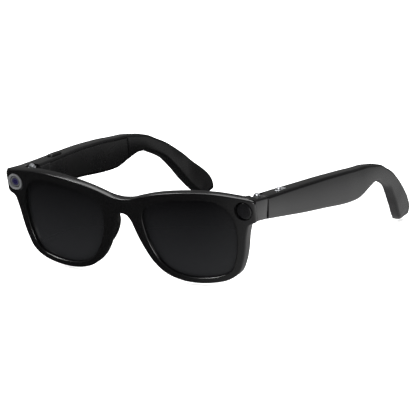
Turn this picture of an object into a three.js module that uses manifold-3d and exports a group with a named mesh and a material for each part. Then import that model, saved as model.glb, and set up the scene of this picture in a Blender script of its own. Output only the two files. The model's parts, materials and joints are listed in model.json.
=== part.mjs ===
// Smart glasses: thick-rimmed dark spectacles with a camera, a light and a pair of electronic temples.
// Millimetres. +X is the wearer's left, +Y runs back along the temples, +Z is up.
// The glasses rest on the bottoms of the two rims and on the two temple tips.
import * as THREE from "three";
import { mergeVertices } from "three/addons/utils/BufferGeometryUtils.js";
import Module from "manifold-3d";

// ---- Driving dimensions -------------------------------------------------------------------
const HALF_WIDTH = 73; // bridge centre to the outer corner of an endpiece
const WRAP = 0.00168; // the front bows back by this much times x squared
const RIM_DEPTH = 4.6; // front face to back face of the rims
const EDGE_BEVEL = 0.55; // chamfer along every rim edge
const FRONT_TILT = 8.3; // degrees that the top of the front leans forward at rest
const TEMPLE_DROP = 4.9; // degrees that the temples fall toward their tips at rest
const GAP = 0.3; // clearance between pieces that touch on the real object

const LENS_RECESS = 2.1; // front face of the rim to the front of the lens
const LENS_THICKNESS = 1.6;
const LENS_GROOVE = 1.1; // how far the lens groove runs into the rim

const MODULE = { x: 67.2, z: -4.7, front: 7.3 }; // axis and front face of camera and light
const CAMERA = { ring: 4.1, opening: 3.0, glass: 2.65, barrel: 2.5 };
const LIGHT = { disc: 4.05, groove: 4.9 };
const BOARD = { back: 12.55, z: -5.2, size: [6.6, 0.8, 7] }; // the boards behind camera and light
const CHANNEL_FLOOR = 2.9; // front face to the bottom of the brow's cable channel
const CONTACT = { x: 2.6, z: -8.2, radius: 1 }; // charging contacts behind the bridge

const PIVOT = { x: 66, back: 13.3, up: -4.3 }; // hinge centre, measured from the endpiece corner
const BARREL = { radius: 1.9, bore: 1.0, height: 1.9, count: 5, base: -5.6 }; // base is the stack's lower end
const PIN_RADIUS = 0.7;
const SEAM = 11.5; // endpiece corner to the joint line of the temple

const BUTTON = { back: 36.3, length: 9.4, width: 3.2, raised: 0.9 };
const SWITCH = { back: 27.4, length: 7.6, width: 3.2, travel: 2.4 };

// The temple, station by station: back, up, across, height, thickness.
// "Across" is the centre of the section; back and up are measured from the endpiece corner.
const TEMPLE = [
  [11.9, -4.3, 68.5, 11.2, 9.6],
  [25, -4.3, 69.1, 12.5, 9.0],
  [42, -4.2, 70.3, 14.1, 8.2],
  [58, -4.0, 71.2, 15.1, 7.7],
  [76, -4.2, 71.4, 15.9, 7.2],
  [86, -4.0, 71.0, 15.2, 6.9],
  [95, -2.5, 70.4, 12.2, 6.6],
  [103, -1.8, 69.6, 8.8, 6.3],
  [109, -2.4, 68.8, 7.9, 6.1],
  [115, -4.6, 67.8, 7.4, 6.0],
  [122.5, -8.0, 66.2, 7.4, 6.0],
  [130, -13.8, 64.0, 9.0, 5.9],
  [135.7, -19.2, 62.3, 10.5, 5.8],
  [141.8, -24.67, 59.9, 11.8, 5.6],
  [144.9, -27.56, 58.6, 11.2, 5.4],
  [146.1, -29.73, 57.8, 9.6, 5.2],
  [146.5, -31.03, 57.4, 7.8, 4.4],
];

// Half outlines in the plane of the front: across, up. Up is 0 at the outer top corner.
const TOP_EDGE = [[0, -3.05], [6, -2.4], [10, -1.2], [14, -0.05], [18, 0.95], [24, 2.1], [31, 3.0],
  [38, 3.55], [46, 3.7], [54, 3.35], [62, 2.35], [68, 1.4], [71.9, 0.6]];
const END_EDGE = [[73, -0.5], [72.7, -10.1], [72, -10.8], [69.3, -11.6]];
const LOWER_EDGE = [[68.2, -12.6], [66.6, -18], [65.1, -25], [63, -31.6], [60, -37.2], [54.3, -40.9],
  [46, -42.8], [37, -43.3], [28.5, -42.3], [21, -39.5], [14.9, -34.3], [10.3, -27.2], [7, -20],
  [4.5, -13.6], [2.4, -11.2], [0, -10.5]];
const APERTURE = [[61.6, -14], [61.6, -19], [60.8, -25], [59.3, -30.2], [57.1, -34.9], [54, -37.6],
  [48.5, -39.4], [40.4, -40.4], [32, -40], [25.5, -38.2], [20.3, -34.8], [16.2, -29.3], [13.3, -22.8],
  [11.8, -16.5], [11.5, -11.4], [13, -7.4], [17.5, -4.5], [24.5, -2.2], [33.5, -0.9], [43.5, -0.2],
  [52, -0.9], [57.4, -4], [60.6, -9]];
// Middle of the cable channel inside the brow, right round from the bridge to an endpiece.
const CHANNEL = [[0, -5.2], [8, -4.4], [14, -2.6], [22, -0.4], [32, 1.3], [42, 2.0], [50, 1.9], [56, 0.9],
  [60, -0.9], [64.5, -3.6]];

// ---- Materials ----------------------------------------------------------------------------
const finish = (color, roughness, metalness = 0) => new THREE.MeshStandardMaterial({ color, roughness, metalness });
const MATERIALS = {
  frame: finish(0x0b0b0c, 0.35),
  cover: finish(0x101012, 0.5),
  lens: finish(0x16181b, 0.05),
  pad: finish(0x0d0d0e, 0.4),
  steel: finish(0x8d9095, 0.3, 1),
  ring: finish(0x74777c, 0.35, 1),
  glass: finish(0x07080c, 0.04),
  led: finish(0x060607, 0.12),
  board: finish(0x11402a, 0.55),
  chip: finish(0x1a1a1c, 0.45),
  cell: finish(0x9da0a3, 0.4, 0.6),
  flex: finish(0x8a4f14, 0.5),
  mesh: finish(0x2b2c2e, 0.5, 0.8),
  contact: finish(0xc59a3a, 0.3, 1),
};

// ---- Solids -------------------------------------------------------------------------------
const wasm = await Module();
wasm.setup();

function solid(geometry) {
  geometry.deleteAttribute("normal");
  geometry.deleteAttribute("uv");
  const merged = mergeVertices(geometry, 1e-4);
  return new wasm.Manifold(new wasm.Mesh({
    numProp: 3,
    vertProperties: new Float32Array(merged.attributes.position.array),
    triVerts: new Uint32Array(merged.index.array),
  }));
}

function geometryOf(body) {
  const mesh = body.getMesh();
  const geometry = new THREE.BufferGeometry();
  geometry.setAttribute("position", new THREE.BufferAttribute(new Float32Array(mesh.vertProperties), 3));
  geometry.setIndex(new THREE.BufferAttribute(new Uint32Array(mesh.triVerts), 1));
  const flat = geometry.toNonIndexed();
  flat.computeVertexNormals();
  return flat;
}

// A box given by its middle and its three sizes.
const box = (middle, size) => solid(new THREE.BoxGeometry(...size).translate(...middle));

// A cylinder of one radius, or a cone frustum, standing on its base along +Z.
const standing = (base, top, height, at = [0, 0, 0], sides = 20) => solid(
  new THREE.CylinderGeometry(top, base, height, sides).rotateX(Math.PI / 2)
    .translate(at[0], at[1], at[2] + height / 2));

// A cylinder or frustum that points back along +Y, from its front face at "at".
const pointing = (front, rear, length, at, sides = 28) => solid(
  new THREE.CylinderGeometry(rear, front, length, sides).translate(at[0], at[1] + length / 2, at[2]));

// A flat bar with round ends: length along Y, width along X, standing on z = 0.
function stadium(length, width, height) {
  const r = width / 2;
  const shape = new THREE.Shape();
  shape.absarc(0, length / 2 - r, r, 0, Math.PI, false);
  shape.absarc(0, r - length / 2, r, Math.PI, 2 * Math.PI, false);
  return solid(new THREE.ExtrudeGeometry(shape, { depth: height, bevelEnabled: false, curveSegments: 8 }));
}

// ---- The bowed front ----------------------------------------------------------------------
const bow = (x) => WRAP * x * x;
const STRIP = 9; // longest triangle side in a wide sheet that is bowed

// A flat plate: an outline drawn across and up, from "near" to "far" behind the front face.
function plate(shape, near, far, bevel = 0) {
  const geometry = new THREE.ExtrudeGeometry(shape, {
    depth: far - near - 2 * bevel, bevelEnabled: bevel > 0,
    bevelThickness: bevel, bevelSize: bevel, bevelOffset: -bevel, bevelSegments: 1,
  });
  return solid(geometry.rotateX(Math.PI / 2).translate(0, far - bevel, 0));
}

// Bows a flat body back. Its triangles are first cut down to STRIP where the body is a wide sheet.
function bowed(flat, sheet = false) {
  const fine = sheet ? flat.refineToLength(STRIP) : flat;
  return fine.warp((vertex) => { vertex[1] += bow(vertex[0]); });
}

const vectors = (points, mirror = 1) => points.map(([x, y]) => new THREE.Vector2(mirror * x, y));
const spline = (points, count) => new THREE.SplineCurve(vectors(points)).getPoints(count);

// The whole outer outline: half of it from curves, the other half by mirror.
function frontOutline() {
  const half = [...spline(TOP_EDGE, 14), ...vectors(END_EDGE), ...spline(LOWER_EDGE, 24)];
  const other = half.slice(1, -1).reverse().map((p) => new THREE.Vector2(-p.x, p.y));
  return new THREE.Shape([...half, ...other]);
}

// A closed smooth loop through the aperture's points, moved outward by "grow".
function apertureLoop(grow, count = 36) {
  const points = APERTURE.map(([x, z]) => new THREE.Vector3(x, z, 0));
  const curve = new THREE.CatmullRomCurve3(points, true, "centripetal");
  return Array.from({ length: count }, (_, i) => {
    const p = curve.getPoint(i / count);
    const t = curve.getTangent(i / count);
    return new THREE.Vector2(p.x - grow * t.y, p.y + grow * t.x);
  });
}

// A flat ribbon that follows the cable channel over both halves of the brow.
function channelRibbon(width, near, far, reach) {
  const points = CHANNEL.map(([x, z]) => new THREE.Vector3(x, z, 0));
  const left = points.slice(1).reverse().map((p) => new THREE.Vector3(-p.x, p.y, 0));
  const curve = new THREE.CatmullRomCurve3([...left, ...points]);
  const geometry = new THREE.BoxGeometry(1, 1, 1, 1, 1, 36);
  const p = geometry.attributes.position;
  for (let i = 0; i < p.count; i++) {
    const along = 0.5 + p.getZ(i) * reach;
    const at = curve.getPoint(along);
    const run = curve.getTangent(along);
    const side = -p.getX(i) * width;
    p.setXYZ(i, at.x - side * run.y, near + (far - near) * (0.5 + p.getY(i)), at.y + side * run.x);
  }
  return solid(geometry);
}

// ---- The level frame of the temples -------------------------------------------------------
const TILT = THREE.MathUtils.degToRad(FRONT_TILT + TEMPLE_DROP); // angle between front and temples
const CORNER = bow(HALF_WIDTH); // how far the endpiece corner lies behind the bridge
const degrees = THREE.MathUtils.radToDeg(TILT);

// Moves a solid drawn in the temples' level frame into the frame of the front.
const toFront = (body) => body.rotate([-degrees, 0, 0]).translate([0, CORNER, 0]);
// Moves a solid drawn round the hinge axis (as Z) into the level frame.
const toHinge = (body) => body.rotate([degrees, 0, 0]).translate([PIVOT.x, PIVOT.back, PIVOT.up]);

// ---- The swept temple ---------------------------------------------------------------------
const path = new THREE.CatmullRomCurve3(TEMPLE.map(([back, up, across]) => new THREE.Vector3(across, back, up)));
const sizes = new THREE.CatmullRomCurve3(TEMPLE.map(([, , , height, thick]) => new THREE.Vector3(thick, height, 0)));

// Where along the path (0 to 1) the centre line lies this far back.
function alongAt(back) {
  let low = 0;
  let high = 1;
  for (let i = 0; i < 30; i++) {
    const middle = (low + high) / 2;
    if (path.getPoint(middle).y < back) low = middle;
    else high = middle;
  }
  return low;
}

// A bar that follows the temple between two distances back (to = null runs it to the tip).
// Across, it starts "outer" behind the outside face, or "deep" short of the inside face, and ends
// "inner" short of the inside face, or after "thick". "top" and "bottom" are kept from the edges.
function templeBar({ from, to = null, outer = 0, deep = null, inner = 0, thick = null, inset = 0,
  top = inset, bottom = inset, radius = 0.8, steps = 5, fine = 1 }) {
  const h = 2 * radius + 1;
  const shape = new THREE.Shape();
  shape.absarc(h - radius, h - radius, radius, 0, Math.PI / 2, false);
  shape.absarc(radius - h, h - radius, radius, Math.PI / 2, Math.PI, false);
  shape.absarc(radius - h, radius - h, radius, Math.PI, 1.5 * Math.PI, false);
  shape.absarc(h - radius, radius - h, radius, 1.5 * Math.PI, 2 * Math.PI, false);
  const geometry = new THREE.ExtrudeGeometry(shape, { depth: 1, steps, bevelEnabled: false, curveSegments: fine });
  const start = alongAt(from);
  const end = to === null ? 1 : alongAt(to);
  const p = geometry.attributes.position;
  for (let i = 0; i < p.count; i++) {
    const along = start + (end - start) * (1 - p.getZ(i));
    const centre = path.getPoint(along);
    const tangent = path.getTangent(along);
    const size = sizes.getPoint(along);
    const near = deep === null ? size.x / 2 - outer : deep - size.x / 2;
    const far = thick === null ? inner - size.x / 2 : near - thick;
    const high = size.y / 2 - top;
    const low = bottom - size.y / 2;
    // Corners keep their radius: each corner's arc is carried to its own corner of the section.
    const a = p.getX(i) > 0 ? near - h + p.getX(i) : far + h + p.getX(i);
    const b = p.getY(i) > 0 ? high - h + p.getY(i) : low + h + p.getY(i);
    const flat = Math.hypot(tangent.y, tangent.z);
    p.setXYZ(i, centre.x + a, centre.y - b * tangent.z / flat, centre.z + b * tangent.y / flat);
  }
  return solid(geometry);
}

// The middle of the temple's top face (side 1) or bottom face (side -1), and the slope there.
function templeFace(back, side) {
  const edge = (along) => path.getPoint(along).add(new THREE.Vector3(0, 0, side * sizes.getPoint(along).y / 2));
  const along = alongAt(back);
  const here = edge(along);
  const run = edge(along + 0.01).sub(edge(along - 0.01));
  return { x: here.x, z: here.z, slope: THREE.MathUtils.radToDeg(Math.atan2(run.z, run.y)) };
}

// Moves a solid drawn round its own origin, with +Z outward, onto the temple's top face.
function onTop(body, back, lift = 0) {
  const face = templeFace(back, 1);
  return body.translate([0, 0, lift]).rotate([face.slope, 0, 0]).translate([face.x, back, face.z]);
}

// The same for the bottom face, where the solid's +Z points down and out.
function onBottom(body, back, lift = 0) {
  const face = templeFace(back, -1);
  return body.translate([0, 0, lift]).rotate([180 + face.slope, 0, 0]).translate([face.x, back, face.z]);
}

// ---- Assembly helpers ---------------------------------------------------------------------
const glasses = new THREE.Group();
const front = new THREE.Group();
const templeLeft = new THREE.Group();
const templeRight = new THREE.Group();
front.rotation.x = THREE.MathUtils.degToRad(FRONT_TILT);
for (const temple of [templeLeft, templeRight]) {
  temple.position.set(0, CORNER, 0).applyEuler(front.rotation);
  temple.rotation.x = -THREE.MathUtils.degToRad(TEMPLE_DROP);
}
glasses.add(front, templeLeft, templeRight);

function add(group, name, body, material) {
  const mesh = new THREE.Mesh(geometryOf(body), MATERIALS[material]);
  mesh.name = name;
  group.add(mesh);
}

// Everything is drawn on the wearer's left (+X); the right-hand twin is its mirror image.
const twin = (body) => body.mirror([1, 0, 0]);

function addPair(groups, name, body, material) {
  add(groups[0], `${name}_left`, body, material);
  add(groups[1], `${name}_right`, twin(body), material);
}
const FRONT_PAIR = [front, front];
const TEMPLE_PAIR = [templeLeft, templeRight];

// ---- Front frame --------------------------------------------------------------------------
// The endpiece runs back from the front to the seam, level with the temple.
function endpieceBlock() {
  const [x0, x1, z0, z1, r] = [62.4, HALF_WIDTH + 0.1, -9.9, 1.2, 1.2];
  const shape = new THREE.Shape();
  shape.moveTo(x0, z0);
  shape.lineTo(x1 - r, z0);
  shape.absarc(x1 - r, z0 + r, r, -Math.PI / 2, 0, false);
  shape.absarc(x1 - r, z1 - r, r, 0, Math.PI / 2, false);
  shape.lineTo(x0, z1);
  const start = -4;
  const block = solid(new THREE.ExtrudeGeometry(shape, { depth: SEAM - start, bevelEnabled: false, curveSegments: 3 })
    .rotateX(Math.PI / 2).translate(0, SEAM, 0));
  const ahead = new THREE.Shape(vectors([[50, -30], [80, -30], [80, 20], [50, 20]]));
  return toFront(block).subtract(bowed(plate(ahead, -30, RIM_DEPTH / 2), true));
}

// The pocket behind camera or light, open toward the nose where its cover closes it.
const POCKET = { x0: 62, x1: 70.8, y0: 11.4, y1: 15.7, z0: -9.3, z1: -1.3 };
function pocket(inset = 0) {
  const size = [POCKET.x1 - POCKET.x0, POCKET.y1 - POCKET.y0 - 2 * inset, POCKET.z1 - POCKET.z0 - 2 * inset];
  return box([(POCKET.x0 + POCKET.x1) / 2, (POCKET.y0 + POCKET.y1) / 2, (POCKET.z0 + POCKET.z1) / 2], size);
}

// What the hinge needs cut out of an endpiece, drawn round the hinge axis.
function endpieceHingeCut() {
  return standing(2.5, 2.5, 24, [0, 0, -12])
    .add(box([-3.2, 2.2, 0], [9.6, 10, 24]))
    .add(box([0, -4.2, 0.5], [2.6, 3.4, 12.6]));
}

// One lens opening: the hole itself, a chamfer at each face and the groove that holds the lens.
function apertureCut() {
  const loop = (grow) => new THREE.Shape(apertureLoop(grow));
  return plate(loop(0), -2, RIM_DEPTH + 2)
    .add(plate(loop(EDGE_BEVEL), -3, EDGE_BEVEL, EDGE_BEVEL))
    .add(plate(loop(EDGE_BEVEL), RIM_DEPTH - EDGE_BEVEL, RIM_DEPTH + 3, EDGE_BEVEL))
    .add(plate(loop(LENS_GROOVE), LENS_RECESS - GAP, LENS_RECESS + LENS_THICKNESS + GAP));
}

function frontFrame() {
  const flat = plate(frontOutline(), 0, RIM_DEPTH, EDGE_BEVEL)
    .subtract(apertureCut()).subtract(twin(apertureCut()));
  const hingeCut = toFront(toHinge(endpieceHingeCut())).add(pocket());
  const lightBore = pointing(LIGHT.groove, LIGHT.disc + GAP, 1.2, [MODULE.x, MODULE.front, MODULE.z])
    .add(pointing(LIGHT.groove, LIGHT.groove, 4, [MODULE.x, MODULE.front - 4, MODULE.z]))
    .add(pointing(LIGHT.disc + GAP, LIGHT.disc + GAP, 3.6, [MODULE.x, MODULE.front + 1, MODULE.z]));
  const cameraBore = pointing(CAMERA.ring + GAP, CAMERA.ring + GAP, 8.6, [-MODULE.x, MODULE.front - 4, MODULE.z]);
  let body = bowed(flat).add(endpieceBlock()).add(twin(endpieceBlock()))
    .subtract(hingeCut).subtract(twin(hingeCut)).subtract(lightBore).subtract(cameraBore)
    .subtract(bowed(channelRibbon(1.4, CHANNEL_FLOOR, RIM_DEPTH + 1, 1)))
    .subtract(bowed(channelRibbon(2.2, CHANNEL_FLOOR + 0.7, RIM_DEPTH + 1, 0.97)));
  for (const x of [-CONTACT.x, CONTACT.x]) {
    body = body.subtract(pointing(CONTACT.radius + GAP, CONTACT.radius + GAP, 3, [x, 3.2, CONTACT.z], 20));
  }
  return body;
}

add(front, "front_frame", frontFrame(), "frame");
addPair(FRONT_PAIR, "lens", bowed(plate(new THREE.Shape(apertureLoop(LENS_GROOVE - GAP)), LENS_RECESS,
  LENS_RECESS + LENS_THICKNESS), true), "lens");

// Nose pads: an egg-shaped block, trimmed flat where it is glued to the back of the rim.
function nosePad() {
  const egg = solid(new THREE.SphereGeometry(1, 20, 14).scale(3.1, 6.6, 8.4)
    .rotateY(THREE.MathUtils.degToRad(-24)).rotateZ(THREE.MathUtils.degToRad(-14))
    .translate(11.6, 6.4, -22));
  const square = new THREE.Shape(vectors([[-4, -40], [30, -40], [30, 0], [-4, 0]]));
  const trim = bowed(plate(square, -12, RIM_DEPTH + GAP), true);
  const lensSide = bowed(plate(new THREE.Shape(apertureLoop(-0.4)), -2, 22), true);
  return egg.subtract(trim).subtract(lensSide);
}
addPair(FRONT_PAIR, "nose_pad", nosePad(), "pad");

// ---- Camera and light ---------------------------------------------------------------------
const ringBody = pointing(CAMERA.ring, CAMERA.ring, 1.6, [-MODULE.x, MODULE.front, MODULE.z])
  .subtract(pointing(CAMERA.opening, CAMERA.opening, 3, [-MODULE.x, MODULE.front - 1, MODULE.z]));
add(front, "camera_trim_ring", ringBody, "ring");
add(front, "camera_cover_glass", pointing(CAMERA.glass, CAMERA.glass, 0.8, [-MODULE.x, MODULE.front + 0.5, MODULE.z]),
  "glass");
add(front, "camera_lens_barrel", pointing(CAMERA.barrel, CAMERA.barrel, 2.9, [-MODULE.x, 8.95, MODULE.z]), "chip");
add(front, "camera_sensor_board", box([-MODULE.x, BOARD.back, BOARD.z], BOARD.size), "board");
add(front, "recording_light_window", pointing(LIGHT.disc, LIGHT.disc, 1.6, [MODULE.x, MODULE.front + 0.3, MODULE.z]),
  "led");
add(front, "recording_light_board", box([MODULE.x, BOARD.back, BOARD.z], BOARD.size)
  .add(box([MODULE.x, BOARD.back - 0.85, MODULE.z], [2.4, 1.4, 2.4])), "board");
addPair(FRONT_PAIR, "endpiece_cover", box([62.9, (POCKET.y0 + POCKET.y1) / 2, (POCKET.z0 + POCKET.z1) / 2],
  [1, POCKET.y1 - POCKET.y0 - 2 * GAP, POCKET.z1 - POCKET.z0 - 2 * GAP]), "cover");
add(front, "brow_flex_cable", bowed(channelRibbon(0.8, CHANNEL_FLOOR + GAP, CHANNEL_FLOOR + 0.45, 0.98)), "flex");
add(front, "brow_channel_cover", bowed(channelRibbon(1.6, CHANNEL_FLOOR + 0.9, RIM_DEPTH, 0.96)), "cover");
addPair(FRONT_PAIR, "charging_contact", pointing(CONTACT.radius, CONTACT.radius, 1.1,
  [CONTACT.x, 3.5, CONTACT.z], 20), "contact");

// ---- Hinges -------------------------------------------------------------------------------
const pitch = BARREL.height + GAP;
const stackTop = BARREL.base + BARREL.count * pitch - GAP;
const knuckle = (i) => standing(BARREL.radius, BARREL.radius, BARREL.height, [0, 0, BARREL.base + i * pitch]);
const hingeBore = () => standing(BARREL.bore, BARREL.bore, 30, [0, 0, -15], 20);

// Front leaf: the odd knuckles, each with a web to one plate inside the endpiece.
function frontLeaf() {
  let body = box([0.6, -5.9, 1.7], [5.6, 0.9, 6.4]);
  for (const i of [0, 2, 4]) {
    const middle = BARREL.base + i * pitch + BARREL.height / 2;
    body = body.add(knuckle(i)).add(box([0, -3.4, middle], [1.9, 4.4, BARREL.height]));
  }
  body = body.add(box([0, -5.0, (BARREL.base + stackTop) / 2], [1.9, 0.9, stackTop - BARREL.base]));
  return body.subtract(hingeBore());
}

// Temple leaf: the even knuckles and a level tongue that slides into the temple.
function templeLeaf() {
  let body = box([0, 7.15, 0], [1, 8.3, 6]).rotate([-degrees, 0, 0]);
  for (const i of [1, 3]) {
    const middle = BARREL.base + i * pitch + BARREL.height / 2;
    body = body.add(knuckle(i)).add(box([0, 2.4, middle], [1.9, 2.6, BARREL.height]));
  }
  return body.subtract(hingeBore()).subtract(tongueHole(1.2));
}

// The cross hole for the screw that keeps the tongue in the temple, in the hinge's own frame.
const TONGUE_SCREW = 7.6;
function tongueHole(radius) {
  return solid(new THREE.CylinderGeometry(radius, radius, 20, 20).rotateZ(Math.PI / 2)
    .translate(0, TONGUE_SCREW, 0)).rotate([-degrees, 0, 0]);
}

function hingeScrew() {
  const seat = stackTop + GAP;
  return standing(PIN_RADIUS, PIN_RADIUS, seat - BARREL.base + 0.4, [0, 0, BARREL.base], 20)
    .add(standing(1.5, 1.3, 0.8, [0, 0, seat], 20))
    .subtract(box([0, 0, seat + 0.8], [4, 0.5, 0.7]));
}

addPair(FRONT_PAIR, "hinge_front_leaf", toFront(toHinge(frontLeaf())), "steel");
addPair(FRONT_PAIR, "hinge_screw", toFront(toHinge(hingeScrew())), "steel");
addPair(TEMPLE_PAIR, "hinge_temple_leaf", toHinge(templeLeaf()), "steel");

// ---- Temples ------------------------------------------------------------------------------
const WALL = 1.6;
const CAVITY = { from: 26, to: 93 };
const COVER = { lap: 1.3, thickness: 1.3, inset: 1.0 };
const BATTERY = { from: 43.5, to: 61 };
const SPEAKER = { from: 64, to: 80, slot: 71 };
const MICROPHONE = 30;

// What the hinge needs cut out of the temple's front end, drawn round the hinge axis.
function templeHingeCut() {
  const slot = box([0, 6, 0], [1.6, 11.6, 6.6]).rotate([-degrees, 0, 0]);
  const screwHole = tongueHole(1.2).intersect(box([-3, 6, 0], [10, 20, 20]));
  return standing(2.5, 2.5, 26, [0, 0, -13]).add(box([-3.3, -0.9, 0], [9.4, 10, 26]))
    .add(slot).add(screwHole).add(crossCylinder(1.8, -2.7, -1.1));
}

// A cylinder that lies across the temple, on the line of the tongue's screw.
function crossCylinder(radius, x0, x1) {
  return solid(new THREE.CylinderGeometry(radius, radius, x1 - x0, 20).rotateZ(Math.PI / 2)
    .translate((x0 + x1) / 2, TONGUE_SCREW, 0)).rotate([-degrees, 0, 0]);
}

// The outer shell with its cavity, the seat of the inner cover, and the cuts that both sides share.
function templeShell() {
  const cavity = templeBar({ ...CAVITY, outer: WALL, inner: -2, inset: WALL, steps: 12 });
  const seat = templeBar({ from: CAVITY.from - COVER.lap - GAP, to: CAVITY.to + COVER.lap + GAP,
    deep: COVER.thickness + GAP, inner: -2, inset: COVER.inset, steps: 12 });
  const slot = onBottom(stadium(8.6, 2.6, 4), SPEAKER.slot, -3);
  const pinhole = onBottom(standing(0.5, 0.5, 4, [0, 0, 0], 12), MICROPHONE, -3);
  return templeBar({ from: TEMPLE[0][0], radius: 1.5, steps: 34, fine: 2 })
    .subtract(cavity).subtract(seat).subtract(slot).subtract(pinhole)
    .subtract(toHinge(templeHingeCut()));
}

// Slide switch on top of the left temple: a plate let into the shell, and a knob that slides in it.
const switchSlot = SWITCH.travel + 2;
const shellLeft = templeShell()
  .subtract(onTop(stadium(SWITCH.length + 2 * GAP, SWITCH.width + 2 * GAP, 3), SWITCH.back, -1.3))
  .subtract(onTop(stadium(switchSlot + 1, 2.4, 4), SWITCH.back - 0.4, -3.4));
const switchPlate = onTop(stadium(SWITCH.length, SWITCH.width, 1.1)
  .subtract(stadium(switchSlot, 1.6, 6).translate([0, -0.4, -1])), SWITCH.back, -1);
const knobBack = SWITCH.back - 0.4 - SWITCH.travel / 2;
const knob = onTop(stadium(2.6, 2.4, 0.8).translate([0, 0, 0.4]).add(stadium(1.3, 1.0, 3.4).translate([0, 0, -2.6])),
  knobBack);

// Button on top of the right temple, drawn on the left like everything else and then mirrored.
const shellRight = templeShell()
  .subtract(onTop(stadium(BUTTON.length + 2 * GAP, BUTTON.width + 2 * GAP, 6), BUTTON.back, -3));
const button = onTop(stadium(BUTTON.length, BUTTON.width, BUTTON.raised + 2.6)
  .add(stadium(BUTTON.length + 1.4, BUTTON.width + 1.2, 0.7)), BUTTON.back, -2.6);
const pushSwitch = onTop(box([0, 0, -4.5], [3.6, 6, 1.4]).add(standing(0.8, 0.8, 0.7, [0, 0, -3.9], 16)), BUTTON.back);

add(templeLeft, "temple_shell_left", shellLeft, "frame");
add(templeRight, "temple_shell_right", twin(shellRight), "frame");
addPair(TEMPLE_PAIR, "temple_cover", templeBar({ from: CAVITY.from - COVER.lap, to: CAVITY.to + COVER.lap,
  deep: COVER.thickness, inset: COVER.inset + GAP, radius: COVER.thickness / 2 - 0.1, steps: 12 }), "cover");
addPair(TEMPLE_PAIR, "hinge_tongue_screw", toHinge(crossCylinder(1.5, -1.75, -1.3).add(crossCylinder(0.9, -1.5, 1.7))
  .subtract(box([-1.9, TONGUE_SCREW, 0], [0.6, 0.5, 4]).rotate([-degrees, 0, 0]))), "steel");
addPair(TEMPLE_PAIR, "battery", templeBar({ ...BATTERY, outer: 2, inner: 2, inset: 2.6 }), "cell");
addPair(TEMPLE_PAIR, "speaker", templeBar({ from: SPEAKER.from, to: SPEAKER.to, outer: 2, inner: 2, bottom: 2.6,
  top: 6.5 }), "chip");
addPair(TEMPLE_PAIR, "speaker_mesh", onBottom(stadium(8, 2, 0.7), SPEAKER.slot, -0.9), "mesh");
addPair(TEMPLE_PAIR, "microphone", onBottom(box([0, 0, 0], [2.4, 3, 1]), MICROPHONE, -2.6), "chip");

add(templeLeft, "power_switch_plate", switchPlate, "steel");
add(templeLeft, "power_switch_knob", knob, "steel");
add(templeLeft, "power_switch_body", onTop(box([0, 2.4, -4.2], [3, 5, 1.8]), SWITCH.back), "chip");
add(templeLeft, "power_board", templeBar({ from: 27, to: 38.5, deep: 3.2, inner: 2.2, top: 6, bottom: 4,
  radius: 0.3 }), "board");

add(templeRight, "capture_button", twin(button), "frame");
add(templeRight, "capture_push_switch", twin(pushSwitch), "chip");
add(templeRight, "main_board", twin(templeBar({ from: 27, to: 38.8, deep: 3.2, inner: 2.2, top: 6, bottom: 4,
  radius: 0.3 })), "board");
add(templeRight, "processor", twin(templeBar({ from: 30, to: 37, deep: 4.8, inner: 3.5, top: 7, bottom: 4.6,
  radius: 0.2, steps: 2 })), "chip");
add(templeRight, "touch_sensor", twin(templeBar({ from: 64, to: 90, outer: 1.75, thick: 0.15, top: 2.2, bottom: 2.2,
  radius: 0.07 })), "flex");

// The origin is the bottom centre of the bounding box.
const bounds = new THREE.Box3().setFromObject(glasses);
const middle = bounds.getCenter(new THREE.Vector3());
glasses.position.set(-middle.x, -middle.y, -bounds.min.z);

export default glasses;
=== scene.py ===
# %% [markdown]
# # Smart glasses
# Thick black spectacles with a camera in one endpiece, a light in the other, and electronics
# in both temples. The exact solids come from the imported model. This lesson loads them as a
# fixed frame, gives the visible ones smooth skins, and gives every one a finish.
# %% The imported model
import bmesh
import bpy
import json
import math
import numpy as np
from mathutils import Matrix, Vector


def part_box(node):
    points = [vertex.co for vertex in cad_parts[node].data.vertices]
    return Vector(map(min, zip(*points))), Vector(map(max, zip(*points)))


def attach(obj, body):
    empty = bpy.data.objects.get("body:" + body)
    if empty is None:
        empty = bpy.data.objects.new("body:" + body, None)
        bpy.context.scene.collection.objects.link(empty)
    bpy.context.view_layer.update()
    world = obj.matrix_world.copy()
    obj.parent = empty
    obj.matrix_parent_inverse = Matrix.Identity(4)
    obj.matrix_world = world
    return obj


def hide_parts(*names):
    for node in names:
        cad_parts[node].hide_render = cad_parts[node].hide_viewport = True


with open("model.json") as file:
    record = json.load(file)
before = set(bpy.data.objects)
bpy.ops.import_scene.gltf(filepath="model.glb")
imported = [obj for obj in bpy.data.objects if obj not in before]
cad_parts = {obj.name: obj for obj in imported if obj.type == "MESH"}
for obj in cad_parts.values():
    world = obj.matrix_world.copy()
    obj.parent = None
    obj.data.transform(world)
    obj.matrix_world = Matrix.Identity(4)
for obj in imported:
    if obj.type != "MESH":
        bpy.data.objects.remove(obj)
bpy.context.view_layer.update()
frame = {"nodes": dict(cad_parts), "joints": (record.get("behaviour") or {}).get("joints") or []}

# %% [markdown]
# ## Two ways of standing
# The front leans forward and bows back, while the temples fall gently toward their tips. It is
# easiest to draw each of them upright, in millimetres, and then to turn it into place. The hinge
# of the left temple, which the record gives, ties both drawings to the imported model.
# %% Turning a drawing into place
MM = 0.001
FRONT_TILT = math.radians(8.3)
TEMPLE_DROP = math.radians(4.9)
HALF_WIDTH = 73
WRAP = 0.00168
PIVOT = np.array([66, 13.3, -4.3])
GAP = 0.3


def lean(points, angle):
    """Turns points about the x axis: y' = y cos - z sin and z' = y sin + z cos."""
    x, y, z = np.moveaxis(np.asarray(points, float), -1, 0)
    c, s = math.cos(angle), math.sin(angle)
    return np.stack([x, y * c - z * s, y * s + z * c], -1)


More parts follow.
